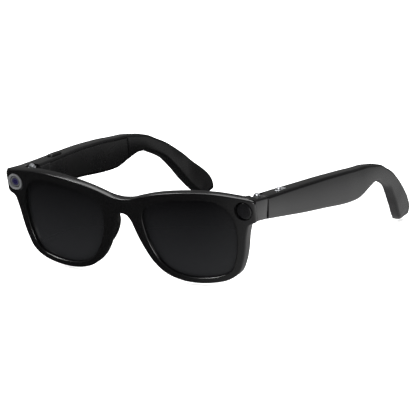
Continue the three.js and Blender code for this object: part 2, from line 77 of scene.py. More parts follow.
hinge = next(joint for joint in frame["joints"] if joint["name"] == "temple_left_fold")
corner = np.array(hinge["pos_m"]) / MM - lean(PIVOT, -TEMPLE_DROP)
corner_back = np.array([0, WRAP * HALF_WIDTH ** 2, 0])
bridge = corner - lean(corner_back, FRONT_TILT)


def from_level(points):
    """From the temples' level drawing, whose origin is the endpiece corner, to the model."""
    return lean(points, -TEMPLE_DROP) + corner


def from_front(points):
    """From the upright drawing of the front, whose origin is the bridge, to the model."""
    return lean(points, FRONT_TILT) + bridge


def level_to_front(points):
    """From the level drawing to the drawing of the front: it leans by both angles at once."""
    return lean(points, -FRONT_TILT - TEMPLE_DROP) + corner_back


def bowed(points):
    """Bows a flat front: every point moves back by WRAP times its x squared."""
    return points + np.stack([0 * points[..., 0], WRAP * points[..., 0] ** 2, 0 * points[..., 0]], -1)


print("endpiece corner at", corner.round(2), "and bridge at", bridge.round(2))

# %% [markdown]
# ## Curves and grids
# Outlines of moulded eyewear are smooth curves through a few points. A centripetal Catmull-Rom
# curve passes through each of them without loops. A skin is then a grid of points, one row for
# each step of a section, and one column for each step along the outline.
# %% Curves
def flow(points, at, closed=False):
    """A centripetal Catmull-Rom curve: at is 0 to 1 over its spans, each of them a cubic whose end
    slopes come from the neighbouring points, spaced by the square roots of their distances."""
    p = np.asarray(points, float)
    spans = len(p) if closed else len(p) - 1
    ends = (p[-1:], p[:2]) if closed else (2 * p[:1] - p[1:2], 2 * p[-1:] - p[-2:-1])
    p = np.concatenate([ends[0], p, ends[1]])
    at = np.clip(np.asarray(at) * spans, 0, spans - 1e-9)
    i = at.astype(int)
    t = (at - i)[..., None]
    a, b, c, d = p[i], p[i + 1], p[i + 2], p[i + 3]
    gap = lambda u, v: np.maximum(np.linalg.norm(v - u, axis=-1, keepdims=True) ** 0.5, 1e-4)
    ab, bc, cd = gap(a, b), gap(b, c), gap(c, d)
    m = ((b - a) / ab - (c - a) / (ab + bc) + (c - b) / bc) * bc
    n = ((c - b) / bc - (d - b) / (bc + cd) + (d - c) / cd) * bc
    return b + m * t + (3 * (c - b) - 2 * m - n) * t ** 2 + (2 * (b - c) + m + n) * t ** 3


def spread(line, count):
    """The same line with its points at equal distances."""
    run = np.r_[0, np.cumsum(np.linalg.norm(np.diff(line, axis=0), axis=1))]
    return pick(line, run, np.linspace(0, run[-1], count))


def pick(table, known, wanted):
    """Reads each column of a table, known at rising positions, at other positions."""
    return np.stack([np.interp(wanted, known, column) for column in table.T], -1)


def outward(line):
    """Unit normals to the left of the way a flat line runs."""
    run = np.gradient(line, axis=0)
    return np.stack([-run[:, 1], run[:, 0]], -1) / np.linalg.norm(run, axis=1, keepdims=True)


# %% Grids and pieces
def quads(rows, columns, around_rows=False, around_columns=True):
    """Four-sided faces of a grid that may close on itself in either direction."""
    r = np.arange(rows if around_rows else rows - 1)[:, None]
    c = np.arange(columns if around_columns else columns - 1)[None]
    s, d = (r + 1) % rows, (c + 1) % columns
    corners = np.broadcast_arrays(r * columns + c, r * columns + d, s * columns + d, s * columns + c)
    return np.stack(corners, -1).reshape(-1, 4)


def piece(name, points, faces):
    """Puts points in millimetres and faces into a mesh, merges doubles and turns faces outward."""
    mesh = bpy.data.meshes.new(name)
    mesh.from_pydata((points.reshape(-1, 3) * MM).tolist(), [], [list(map(int, face)) for face in faces])
    thing = bpy.data.objects.new(name, mesh)
    bpy.context.scene.collection.objects.link(thing)
    work = bmesh.new()
    work.from_mesh(mesh)
    bmesh.ops.remove_doubles(work, verts=work.verts, dist=2e-7)
    bmesh.ops.dissolve_degenerate(work, edges=work.edges, dist=1e-8)
    bmesh.ops.delete(work, geom=[v for v in work.verts if not v.link_faces], context="VERTS")
    bmesh.ops.recalc_face_normals(work, faces=work.faces)
    work.to_mesh(mesh)
    work.free()
    shade(thing, 35)
    return thing


def shade(thing, angle):
    """Smooth shading, but crisp where two faces meet at more than this angle in degrees."""
    thing.data.shade_smooth()
    thing.data.set_sharp_from_angle(angle=math.radians(angle))


def tube(rings):
    """Points and faces of a closed body from a stack of rings, shut by a flat face at each end."""
    rows, columns = rings.shape[:2]
    last = (rows - 1) * columns
    ends = [list(range(columns)), list(range(last, last + columns))]
    return rings.reshape(-1, 3), quads(rows, columns).tolist() + ends


def lathe(profile, place, count=96):
    """A turned body: radius and depth pairs spun round the y axis, then put in place."""
    angle = np.linspace(0, 2 * math.pi, count, endpoint=False)
    radius, depth = np.asarray(profile, float).T[..., None]
    ring = np.stack([radius * np.cos(angle), depth + 0 * angle, radius * np.sin(angle)], -1)
    return place(ring).reshape(-1, 3), quads(len(profile), count).tolist()


def block(centre, size):
    """The eight corners and six sides of a plain cutter box."""
    signs = np.stack(np.meshgrid([-1, 1], [-1, 1], [-1, 1], indexing="ij"), -1).reshape(-1, 3)
    sides = [[0, 1, 3, 2], [4, 6, 7, 5], [0, 4, 5, 1], [2, 3, 7, 6], [0, 2, 6, 4], [1, 5, 7, 3]]
    return np.array(centre) + signs * np.array(size) / 2, sides


def combine(thing, others, how="DIFFERENCE"):
    """Cuts cutters out of a piece, or joins bodies to it, one at a time. The exact solver can return
    an empty mesh, as it does for the seat of a temple's cover: then the manifold solver does it."""
    for points, faces in others:
        tool = piece("tool", points, faces)
        step = thing.modifiers.new("step", "BOOLEAN")
        step.object, step.operation = tool, how
        for step.solver in ("EXACT", "MANIFOLD"):
            made = bpy.data.meshes.new_from_object(
                thing.evaluated_get(bpy.context.evaluated_depsgraph_get()))
            if len(made.polygons) > len(thing.data.polygons) / 2:
                break
        else:
            raise RuntimeError(f"{thing.name} was lost in a boolean")
        thing.modifiers.clear()
        thing.data, old = made, thing.data
        made.name = thing.name
        bpy.data.meshes.remove(old)
        bpy.data.meshes.remove(tool.data)
    return thing


def install(thing, body, slot, finish, *nodes):
    """Gives a piece its finish and its body, and hides the solids that it stands for. The slot is not used.
    """
    thing.data.materials.clear()
    thing.data.materials.append(finish)
    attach(thing, body)
    if nodes:
        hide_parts(*nodes)
    print(thing.name, "has", len(thing.data.polygons), "faces")


# %% [markdown]
# ## Finishes
# Almost everything is black nylon, so its life is in how it shines: a fine grain from the mould,
# a slow waviness of the polish, a little skin grease, and dust that settles on the upper sides.
# Those effects are node groups, shared by the materials with different values.
# %% Node helpers
def node(tree, kind, inputs=None, **settings):
    """Adds a shader node, sets its properties, and feeds its inputs with values or with sockets."""
    made = tree.nodes.new("ShaderNode" + kind)
    for name, value in settings.items():
        setattr(made, name, value)
    for name, value in (inputs or {}).items():
        if isinstance(value, bpy.types.NodeSocket):
            tree.links.new(value, made.inputs[name])
        else:
            made.inputs[name].default_value = value
    return made


def remap(tree, value, low, high, least=0.0, most=1.0, **settings):
    """Maps a value from one range to another: the span low to high becomes least to most."""
    return node(tree, "MapRange", {"Value": value, "From Min": low, "From Max": high, "To Min": least,
                                   "To Max": most}, **settings).outputs[0]


def maths(tree, operation, one, other):
    """A Math node on two values: its operation is ADD or MULTIPLY."""
    return node(tree, "Math", {0: one, 1: other}, operation=operation).outputs[0]


def group(name, inputs, outputs):
    """An empty node group with named inputs (name to default) and outputs (name to kind)."""
    tree = bpy.data.node_groups.new(name, "ShaderNodeTree")
    kinds = {float: "NodeSocketFloat", tuple: "NodeSocketColor", type(None): "NodeSocketVector"}
    for label, default in inputs.items():
        socket = tree.interface.new_socket(label, in_out="INPUT", socket_type=kinds[type(default)])
        if default is not None:
            socket.default_value = default
    for label, kind in outputs.items():
        tree.interface.new_socket(label, in_out="OUTPUT", socket_type="NodeSocket" + kind)
    return tree, tree.nodes.new("NodeGroupInput").outputs, tree.nodes.new("NodeGroupOutput").inputs


# %% Grain: the fine texture of a mould, as a height
GRAIN, given, gives = group("Mould grain", {"Vector": None, "Scale": 900.0, "Waves": 0.3},
                            {"Height": "Float"})
fine = node(GRAIN, "TexNoise", {"Vector": given["Vector"], "Scale": given["Scale"], "Detail": 3.0})
wave = node(GRAIN, "TexNoise", {"Vector": given["Vector"], "Scale": 55.0, "Detail": 1.0})
waves = maths(GRAIN, "MULTIPLY", wave.outputs["Fac"], given["Waves"])
both = maths(GRAIN, "ADD", fine.outputs["Fac"], waves)
GRAIN.links.new(both, gives["Height"])

# %% Grease: broad patches of duller polish, and short thin hair lines
GREASE, given, gives = group("Skin grease", {"Vector": None, "Least": 0.2, "Most": 0.35},
                             {"Roughness": "Float"})
patch = node(GREASE, "TexNoise", {"Vector": given["Vector"], "Scale": 70.0, "Detail": 4.0, "Distortion": 0.6})
stretch = node(GREASE, "Mapping", {"Vector": given["Vector"], "Scale": (2600, 160, 900),
                                   "Rotation": (0.3, 0.2, 0.5)})
hair = node(GREASE, "TexNoise", {"Vector": stretch.outputs[0], "Scale": 1.0, "Detail": 2.0})
line = remap(GREASE, hair.outputs["Fac"], 0.66, 0.76, 0.0, 0.08)
mixed = maths(GREASE, "ADD", patch.outputs["Fac"], line)
level = remap(GREASE, mixed, 0.35, 0.75, given["Least"], given["Most"])
GREASE.links.new(level, gives["Roughness"])

# %% Dust: pale specks on the base colour, thicker where the surface looks up
DUST, given, gives = group("Dust", {"Vector": None, "Colour": (0.01, 0.01, 0.01, 1.0), "Amount": 0.2},
                           {"Colour": "Color"})
speck = node(DUST, "TexNoise", {"Vector": given["Vector"], "Scale": 1500.0, "Detail": 2.0})
dots = remap(DUST, speck.outputs["Fac"], 0.7, 0.8)
facing = node(DUST, "SeparateXYZ", {0: node(DUST, "NewGeometry").outputs["Normal"]})
upward = remap(DUST, facing.outputs["Z"], -0.2, 1.0, 0.1, 1.0)
cover = maths(DUST, "MULTIPLY", dots, upward)
amount = maths(DUST, "MULTIPLY", cover, given["Amount"])
tone = node(DUST, "TexNoise", {"Vector": given["Vector"], "Scale": 30.0})
shift = remap(DUST, tone.outputs["Fac"], 0.0, 1.0, 0.8, 1.2)
base = node(DUST, "VectorMath", {0: given["Colour"], "Scale": shift}, operation="SCALE")
dusty = node(DUST, "Mix", data_type="RGBA")
dusty_in = {socket.identifier: socket for socket in dusty.inputs}
DUST.links.new(amount, dusty_in["Factor_Float"])
DUST.links.new(base.outputs[0], dusty_in["A_Color"])
dusty_in["B_Color"].default_value = (0.2, 0.19, 0.18, 1)
DUST.links.new(next(o for o in dusty.outputs if o.identifier == "Result_Color"), gives["Colour"])

# %% Brushing: long fine lines along one axis, as a height and a mask
BRUSH, given, gives = group("Brushing", {"Vector": None, "Along": 60.0, "Across": 3000.0}, {"Lines": "Float"})
scale = node(BRUSH, "CombineXYZ", {"X": given["Across"], "Y": given["Along"], "Z": given["Across"]})
lines = node(BRUSH, "VectorMath", {0: given["Vector"], 1: scale.outputs[0]}, operation="MULTIPLY")
streak = node(BRUSH, "TexNoise", {"Vector": lines.outputs[0], "Scale": 1.0, "Detail": 3.0})
BRUSH.links.new(streak.outputs["Fac"], gives["Lines"])
print("node groups:", [tree.name for tree in bpy.data.node_groups])


# %% Making a material
def finish(name, metallic=0.0, ior=1.45, coat=0.0, **sockets):
    """A new material: its tree, its shader with plain values set, and object coordinates."""
    made = bpy.data.materials.new(name)
    made.use_nodes = True
    tree = made.node_tree
    shader = tree.nodes["Principled BSDF"]
    for label, value in {"Metallic": metallic, "IOR": ior, "Coat Weight": coat, **sockets}.items():
        shader.inputs[label].default_value = value
    return made, tree, shader, node(tree, "TexCoord").outputs["Object"]


def effect(tree, kind, **inputs):
    """Places one of the shared groups in a material. Underscores in the names stand for spaces."""
    made = tree.nodes.new("ShaderNodeGroup")
    made.node_tree = kind
    for label, value in inputs.items():
        if isinstance(value, bpy.types.NodeSocket):
            tree.links.new(value, made.inputs[label])
        else:
            made.inputs[label].default_value = value
    return made.outputs[0]


def greasy(tree, shader, place, least, most):
    """Feeds the grease group to the shader's roughness, between two values."""
    tree.links.new(effect(tree, GREASE, Vector=place, Least=least, Most=most), shader.inputs["Roughness"])


def relief(tree, shader, height, distance):
    """Feeds a height through a Bump node to the shader's normal. The distance is in metres."""
    bump = node(tree, "Bump", {"Height": height, "Distance": distance, "Strength": 1.0})
    tree.links.new(bump.outputs[0], shader.inputs["Normal"])


def moulded(name, colour, least, most, grain=900.0, depth=2e-6, waves=0.3, dust=0.2, **sockets):
    """A moulded plastic: dusty colour, greasy roughness and a grain, each with its own amount."""
    made, tree, shader, place = finish(name, **sockets)
    dusty = effect(tree, DUST, Vector=place, Colour=(*colour, 1), Amount=dust)
    tree.links.new(dusty, shader.inputs["Base Color"])
    greasy(tree, shader, place, least, most)
    relief(tree, shader, effect(tree, GRAIN, Vector=place, Scale=grain, Waves=waves), depth)
    return made


def ramp(tree, factor, *stops):
    """A colour ramp through (position, colour) stops: the first lies at 0 and the last at 1."""
    made = node(tree, "ValToRGB", {"Fac": factor})
    table = made.color_ramp.elements
    for position, colour in stops[1:-1]:
        table.new(position)
    for stop, (position, colour) in zip(table, stops):
        stop.color = (*colour, 1)
    return made.outputs["Color"]


nylon = moulded("black nylon", (0.0022, 0.0022, 0.0024), 0.16, 0.24, depth=6e-7, dust=0.04, ior=1.45)
satin = moulded("satin nylon", (0.0024, 0.0024, 0.0026), 0.24, 0.32, depth=8e-7, dust=0.04, ior=1.45)
matte_nylon = moulded("matte nylon", (0.006, 0.006, 0.0064), 0.36, 0.48, grain=2200.0, depth=2e-6, waves=0.1,
                      dust=0.05)
pad_finish = moulded("polished pad", (0.0024, 0.0024, 0.0026), 0.18, 0.28, grain=500.0, depth=8e-7, dust=0.04)
epoxy = moulded("black epoxy", (0.015, 0.015, 0.016), 0.4, 0.6, grain=4200.0, depth=1e-5, dust=0.5)
foil = moulded("battery foil", (0.42, 0.43, 0.44), 0.3, 0.5, grain=240.0, depth=6e-5, waves=0.8, metallic=0.7)


# %% [markdown]
# ## Metals
# The hinges and the switch plate are satin steel, the ring round the camera is turned and grey
# anodised, and the charging contacts are gold plated. Their brushing goes into roughness and
# bump, and the colour is tinted a little by the same lines.
# %% Metals
def metal(name, colour, least, most, along=60.0, across=3000.0, depth=3e-6, metallic=1.0):
    """A brushed metal: lines in one direction shift its colour, its roughness and its relief."""
    made, tree, shader, place = finish(name, metallic=metallic)
    streaks = effect(tree, BRUSH, Vector=place, Along=along, Across=across)
    rough = remap(tree, streaks, 0.3, 0.7, least, most)
    bright = remap(tree, streaks, 0.3, 0.7, 0.85, 1.1)
    tint = node(tree, "VectorMath", {0: colour, "Scale": bright}, operation="SCALE")
    tree.links.new(tint.outputs[0], shader.inputs["Base Color"])
    tree.links.new(rough, shader.inputs["Roughness"])
    relief(tree, shader, streaks, depth)
    return made


steel = metal("satin steel", (0.5, 0.51, 0.53), 0.25, 0.42)
anodised = metal("grey anodised ring", (0.13, 0.132, 0.136), 0.45, 0.6, along=3000.0, metallic=0.3)
gold = metal("gold plating", (0.78, 0.56, 0.22), 0.2, 0.34, along=400.0)

# %% [markdown]
# ## Lenses
# The sun lenses are dark grey, darker toward the brow than toward the bottom, with a hard coat
# that keeps only a faint reflection. A gradient along z in the object's own coordinates makes
# the colour darker toward the top, and very slow waves in the polish keep the reflection from
# looking like a perfect mirror.
# %% The gradient, darker toward the top
lens_low, lens_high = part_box("lens_left")
graded, tree, shader, place = finish("dyed lens", ior=1.28, Alpha=1.0)
height = node(tree, "SeparateXYZ", {0: place}).outputs["Z"]
share_up = remap(tree, height, lens_low.z, lens_high.z)
lens_gradient = ramp(tree, share_up, (0, (0.0125, 0.0128, 0.0138)), (1, (0.0012, 0.0012, 0.0014)))
tree.links.new(lens_gradient, shader.inputs["Base Color"])
greasy(tree, shader, place, 0.03, 0.09)
relief(tree, shader, effect(tree, GRAIN, Vector=place, Scale=20.0, Waves=0.5), 4e-6)

# %% [markdown]
# ## Camera and light windows
# The camera's cover glass is opaque, and its colour is painted light: a painted shade of the nearly
# black pupil in the middle, and round it a painted violet reflection of the coating, strongest where
# one looks straight in. The light's window is smoked, so that it looks black until it is lit. Layer
# Weight tells the material how steeply the surface is seen.
# %% Cover glass with painted pupil and glint, and smoked window
painted, tree, shader, place = finish("coated cover glass", ior=1.5, coat=0.3)
glass_low, glass_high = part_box("camera_cover_glass")
from_axis = node(tree, "Mapping", {"Vector": place, "Location": -(glass_low + glass_high) / 2})
radius = node(tree, "VectorMath", {0: from_axis.outputs[0]}, operation="LENGTH")
from_middle = remap(tree, radius.outputs["Value"], 0.0, 0.00275)
# Painted shade and painted reflection: a nearly black pupil, a violet ring that stands for the coating's
# reflection, then grey out to the edge.
painted_pupil_and_glint = ramp(tree, from_middle, (0, (0.01, 0.008, 0.03)), (0.38, (0.004, 0.003, 0.02)),
             (0.5, (0.022, 0.02, 0.06)), (0.62, (0.012, 0.012, 0.02)), (0.8, (0.06, 0.061, 0.065)),
             (1, (0.1, 0.101, 0.105)))
# The painted colour is kept whole where one looks straight in and falls to six tenths at a slant.
steep = node(tree, "LayerWeight", {"Blend": 0.35}).outputs["Facing"]
clear = remap(tree, steep, 0.0, 1.0, 1.0, 0.6)
tint = node(tree, "VectorMath", {0: painted_pupil_and_glint, "Scale": clear}, operation="SCALE")
tree.links.new(tint.outputs[0], shader.inputs["Base Color"])
greasy(tree, shader, place, 0.03, 0.1)

smoked = moulded("smoked window", (0.004, 0.004, 0.0045), 0.08, 0.18, grain=300.0, depth=1e-6, dust=0.1)
barrel_finish = moulded("lens barrel", (0.006, 0.006, 0.007), 0.25, 0.4, grain=2000.0, depth=4e-6, dust=0.0)

# %% [markdown]
# ## Boards, flexes and grilles
# These pieces are mostly hidden. A circuit board is a green lacquer over copper runs, which a
# brick pattern suggests, and a flex is amber film with the same runs along it. The speaker's
# grille is a black sheet with rows of fine round holes, drawn as dots of depth and darkened
# with painted shade.
# %% Printed circuits
def printed(name, lacquer, copper, pitch):
    """A circuit: lacquer over copper runs, from a brick pattern whose mortar is the copper."""
    made, tree, shader, place = finish(name, coat=0.2)
    brick = node(tree, "TexBrick", {"Vector": place, "Color1": (*lacquer, 1), "Color2": (*lacquer, 1),
                                    "Mortar": (*copper, 1), "Scale": 1 / pitch, "Mortar Size": 0.05})
    tree.links.new(brick.outputs["Color"], shader.inputs["Base Color"])
    greasy(tree, shader, place, 0.35, 0.5)
    relief(tree, shader, brick.outputs["Fac"], 2e-5)
    return made


board = printed("green circuit board", (0.01, 0.05, 0.025), (0.05, 0.16, 0.07), 0.0016)
flex = printed("amber flex", (0.2, 0.08, 0.015), (0.32, 0.15, 0.04), 0.0009)

# %% The grille's holes, darkened with painted shade
grille, tree, shader, place = finish("grille", metallic=0.6)
cells = node(tree, "TexVoronoi", {"Vector": place, "Scale": 1600.0, "Randomness": 0.0})
hole = remap(tree, cells.outputs["Distance"], 0.22, 0.34)
# Painted shade: each hole is painted darker than the sheet, as the shade inside it would be.
painted_hole_shade = ramp(tree, hole, (0, (0.001, 0.001, 0.001)), (1, (0.03, 0.03, 0.032)))
tree.links.new(painted_hole_shade, shader.inputs["Base Color"])
greasy(tree, shader, place, 0.4, 0.55)
relief(tree, shader, hole, 1e-4)
print("materials:", len(bpy.data.materials))

# %% [markdown]
# ## The front
# The front is one moulding: two thick rims, the bridge and the endpieces. It could be cut from
# a plate, but its edges would be crude. Instead one half is a skin of rows round the lens opening,
# stretched between that opening and the outer outline. Each row has a depth and a distance from
# its outline, so rounded edges, the faces and the groove for the lens all come from one table.
# The bridge's middle is left open, and the mirrored half closes it.
# %% Outlines of one half, across and up in the plane of the front
TOP_EDGE = [[0, -3.05], [6, -2.4], [10, -1.2], [14, -0.05], [18, 0.95], [24, 2.1], [31, 3.0],
            [38, 3.55], [46, 3.7], [54, 3.35], [62, 2.35], [68, 1.4], [71.9, 0.6]]
END_EDGE = [[73, -0.5], [72.7, -10.1], [72, -10.8], [69.3, -11.6]]
LOWER_EDGE = [[68.2, -12.6], [66.6, -18], [65.1, -25], [63, -31.6], [60, -37.2], [54.3, -40.9],
              [46, -42.8], [37, -43.3], [28.5, -42.3], [21, -39.5], [14.9, -34.3], [10.3, -27.2], [7, -20],
              [4.5, -13.6], [2.4, -11.2], [0, -10.5]]
APERTURE = [[61.6, -14], [61.6, -19], [60.8, -25], [59.3, -30.2], [57.1, -34.9], [54, -37.6],
            [48.5, -39.4], [40.4, -40.4], [32, -40], [25.5, -38.2], [20.3, -34.8], [16.2, -29.3],
            [13.3, -22.8], [11.8, -16.5], [11.5, -11.4], [13, -7.4], [17.5, -4.5], [24.5, -2.2],
            [33.5, -0.9], [43.5, -0.2], [52, -0.9], [57.4, -4], [60.6, -9]]
RIM_DEPTH = 4.6
EDGE = 0.55
LENS_GROOVE = 1.1
LENS = {"front": 2.1, "thickness": 1.6}


def softened(line, width=3):
    """Rounds a half outline's corners: each point becomes a weighted mean of its neighbours, and
    at both ends the neighbours are the mirror image of the half."""
    mirror = np.array([-1, 1])
    padded = np.concatenate([line[width:0:-1] * mirror, line, line[-2:-2 - width:-1] * mirror])
    weights = np.r_[1:width + 2, width:0:-1] / (width + 1) ** 2
    return np.stack([np.convolve(column, weights, "valid") for column in padded.T], -1)


half = np.concatenate([flow(TOP_EDGE, np.linspace(0, 1, 200)), END_EDGE,
                       flow(LOWER_EDGE, np.linspace(0, 1, 300))])
rim_line = softened(spread(half, 430))
both_ways = np.array([-1, 1])
rim_out = outward(np.concatenate([rim_line[1:2] * both_ways, rim_line, rim_line[-2:-1] * both_ways]))[1:-1]
middle_line = np.stack([np.zeros(14), np.linspace(rim_line[-1, 1], rim_line[0, 1], 16)[1:-1]], -1)
print("outline:", len(rim_line), "points, and", len(middle_line), "down the bridge's middle")

# %% Pairing the outline with the opening
opening = flow(APERTURE, np.linspace(0, 1, 1200, endpoint=False), closed=True)
hub = np.array([40, -12])


def bearing(line):
    """The angle of each point seen from a hub in the opening, growing steadily, clockwise."""
    return -np.unwrap(np.arctan2(*(line - hub).T[::-1]))


outline = np.concatenate([rim_line, middle_line])
aimed = [(line - hub) / np.linalg.norm(line - hub, axis=1)[:, None] for line in (opening, outline[:1])]
begin = np.argmin(np.linalg.norm(aimed[0] - aimed[1], axis=1))
opening = np.roll(opening, -begin, axis=0)
opening = np.concatenate([opening, opening[:1]])
opening_out = outward(np.concatenate([opening[-2:-1], opening, opening[1:2]]))[1:-1]


def share(line):
    """How much of a closed line's length lies before each point."""
    run = np.cumsum(np.linalg.norm(np.diff(line, axis=0, prepend=line[:1]), axis=1))
    return run / (run[-1] + np.linalg.norm(line[0] - line[-1]))


angles = bearing(outline)
by_angle = np.interp(angles - angles[0], bearing(opening) - bearing(opening)[0], share(opening))
at = 0.8 * by_angle + 0.2 * share(outline)
hole_line, hole_out = pick(opening, share(opening), at), pick(opening_out, share(opening), at)


# %% The table of rows and the skin
def rounded(start, end, steps=5):
    """A quarter turn from one (distance, depth) to another: it leaves along the depth."""
    turn = np.linspace(0, math.pi / 2, steps)[:, None]
    (d0, y0), (d1, y1) = start, end
    return np.concatenate([d0 + (d1 - d0) * (1 - np.cos(turn)), y0 + (y1 - y0) * np.sin(turn)], 1)


outer_rows = np.concatenate([rounded((0, RIM_DEPTH - EDGE), (EDGE, RIM_DEPTH))[::-1],
                             rounded((0, EDGE), (EDGE, 0))])
groove_near, groove_far = LENS["front"] - GAP, LENS["front"] + LENS["thickness"] + GAP
hole_rows = np.concatenate([rounded((0, EDGE), (EDGE, 0))[::-1],
                            [[0, groove_near], [LENS_GROOVE, groove_near], [LENS_GROOVE, groove_far],
                             [0, groove_far]],
                            rounded((0, RIM_DEPTH - EDGE), (EDGE, RIM_DEPTH))[1:]])


def outer_row(inset):
    """The outline moved inward, with the bridge's middle shortened by as much at both ends."""
    moved = rim_line - inset * rim_out
    middle = np.clip(middle_line, [0, moved[-1, 1]], [0, moved[0, 1]])
    return np.concatenate([moved, middle])


def with_depth(flat, depth):
    """Across, depth and up from across and up."""
    return np.stack([flat[:, 0], depth + 0 * flat[:, 0], flat[:, 1]], -1)


def face_rows(depth, count=8):
    """Rows that cross a face of the rim, from its outer edge to its edge at the lens."""
    part = np.linspace(0, 1, count + 2)[1:-1, None, None]
    flat = (1 - part) * outer_row(EDGE) + part * (hole_line + EDGE * hole_out)
    return [with_depth(row, depth) for row in flat]


rows = ([with_depth(outer_row(d), y) for d, y in outer_rows] + face_rows(0)
        + [with_depth(hole_line + d * hole_out, y) for d, y in hole_rows]
        + face_rows(RIM_DEPTH)[::-1])
skin = bowed(np.stack(rows))
faces = quads(*skin.shape[:2], around_rows=True)
skin = skin.reshape(-1, 3)
faces = faces[~np.all(np.abs(skin[faces][..., 0]) < 1e-5, axis=1)]
other = skin * [-1, 1, 1]
front = piece("front_skin", from_front(np.concatenate([skin, other])),
              np.concatenate([faces, faces[:, ::-1] + len(skin)]))
print("rims:", len(front.data.vertices), "vertices")


# %% [markdown]
# ## Endpieces
# Behind each end of the front a block runs back to the joint line of the temple. It is a stack
# of rounded rectangles that starts inside the front, so that an exact boolean can join the two.
# %% Rounded sections
NUDGE = 1e-9  # in radians, keeps the corners' points off exact right angles


def section(near, far, high, low, radius, steps=7):
    """A rounded rectangle between four sides, each of which may be a column of values: the corners
    are quarter circles of one radius round centres that lie that far inside."""
    turn = (np.linspace(0, math.pi / 2, steps)[None] + np.arange(4)[:, None] * math.pi / 2).ravel()[None]
    right, up = np.cos(turn - NUDGE), np.sin(turn)
    quarter = np.repeat(np.arange(4), steps)[None]
    sides = [np.reshape(side, (-1, 1)) for side in (near, far, high, low)]
    across = np.where((quarter == 0) | (quarter == 3), sides[0] - radius, sides[1] + radius) + radius * right
    rise = np.where(quarter < 2, sides[2] - radius, sides[3] + radius) + radius * up
    return across, rise


SEAM = 11.5
SEAM_EDGE = 0.15
SIDE = {"inside": 62.4, "outside": 73.06, "top": 1.2, "bottom": -9.9}


def endpiece(mirror):
    """Rings from inside the front to the joint line, with a rounded edge there."""
    turn = np.linspace(0, math.pi / 2, 5)
    inset = np.r_[0, 0, SEAM_EDGE * (1 - np.cos(turn))]
    across, rise = section(SIDE["outside"] - inset, SIDE["inside"] + inset, SIDE["top"] - inset,
                           SIDE["bottom"] + inset, 1.2)
    start = (WRAP * across ** 2 + 1.4 - corner_back[1] - rise * math.sin(FRONT_TILT + TEMPLE_DROP)
             ) / math.cos(FRONT_TILT + TEMPLE_DROP)
    back = np.r_[0, SEAM + SEAM_EDGE * (np.sin(np.r_[0, turn]) - 1)][:, None] + 0 * across
    back[0] = start[0]
    side = across + 0.03 * np.minimum(rise, 0)
    return tube(from_level(np.stack([mirror * side, back, rise], -1)))


combine(front, [endpiece(1), endpiece(-1)], "UNION")

# %% [markdown]
# ## Openings in the front
# The camera, the light, the hinges, the pockets behind camera and light, the cable channel in
# the brow and the two charging contacts each need an opening. They are cut with turned bodies,
# boxes and one ribbon.
# %% Cutters
MODULE = {"x": 67.2, "z": -4.7, "front": 7.3}
CAMERA = {"ring": 4.1, "opening": 3.0, "glass": 2.65, "barrel": 2.5}
LIGHT = {"disc": 4.05, "groove": 4.9}
CONTACT = {"x": 2.6, "z": -8.2, "radius": 1}
POCKET = [66.4, 13.55, -5.3], [8.8, 4.3, 8]


def at_module(side):
    """Puts a turned body on the axis of the light (side 1) or of the camera (side -1)."""
    return lambda points: from_front(points + [side * MODULE["x"], MODULE["front"], MODULE["z"]])


pivot = level_to_front(PIVOT)
mirrors = ([1, 1, 1], [-1, 1, 1])


def upright(radius, at, height, count=48):
    """A plain cutter cylinder along z, in the drawing of the front."""
    turn = np.linspace(0, 2 * math.pi, count, endpoint=False)
    ring = np.stack([radius * np.cos(turn), radius * np.sin(turn), 0 * turn], -1)
    return tube(np.stack([at + ring + [0, 0, -height / 2], at + ring + [0, 0, height / 2]]))


CHANNEL = [[0, -5.2], [8, -4.4], [14, -2.6], [22, -0.4], [32, 1.3], [42, 2.0], [50, 1.9], [56, 0.9],
           [60, -0.9], [64.5, -3.6]]
CHANNEL_FLOOR = 2.9


def ribbon(width, near, far, reach, count=160):
    """A band of one width that follows the brow from endpiece to endpiece."""
    whole = np.concatenate([(np.array(CHANNEL[:0:-1]) * [-1, 1]), CHANNEL])
    at = 0.5 + reach * np.linspace(-0.5, 0.5, count)
    line, out = flow(whole, at), outward(flow(whole, at))
    corners = [(0.5, near), (-0.5, near), (-0.5, far), (0.5, far)]
    rings = np.stack([with_depth(line + width * side * out, depth) for side, depth in corners], 1)
    return tube(bowed(rings))


cutters = []
for mirror in mirrors:
    for points, sides in (upright(2.5, pivot, 24), block(pivot + [-3.2, 2.2, 0], [9.6, 10, 24]),
                          block(pivot + [0, -4.2, 0.5], [2.6, 3.4, 12.6]),
                          block(*POCKET)):
        cutters.append((from_front(points * mirror), sides))
ring_hole, disc_hole = CAMERA["ring"] + GAP, LIGHT["disc"] + GAP
for side, mouth, hole, top, bottom in ((-1, ring_hole + 0.8, ring_hole, -0.6, 0.1),
                                       (1, LIGHT["groove"], disc_hole, 0, 1.2)):
    seat = [(0, -4), (mouth, -4), (mouth, top), (hole, bottom), (hole, 4.6), (0, 4.6)]
    cutters.append(lathe(seat, at_module(side)))
for width, floor_at, reach in ((1.4, CHANNEL_FLOOR, 1), (2.1, CHANNEL_FLOOR + 0.7, 0.968)):
    points, sides = ribbon(width, floor_at, RIM_DEPTH + 1, reach)
    cutters.append((from_front(points), sides))
for x in (-CONTACT["x"], CONTACT["x"]):
    bore = CONTACT["radius"] + GAP
    cutters.append(lathe([(0, 0), (bore, 0), (bore, 3), (0, 3)],
                         lambda points: from_front(points + [x, 3.2, CONTACT["z"]]), 48))
combine(front, cutters)
shade(front, 32)
install(front, "front", "frame", nylon, "front_frame")

# %% The cover of the cable channel
points, sides = ribbon(1.6, CHANNEL_FLOOR + 0.9, RIM_DEPTH, 0.96)
channel_cover = piece("brow_cover_skin", from_front(points), sides)
install(channel_cover, "front", "cover", matte_nylon, "brow_channel_cover")


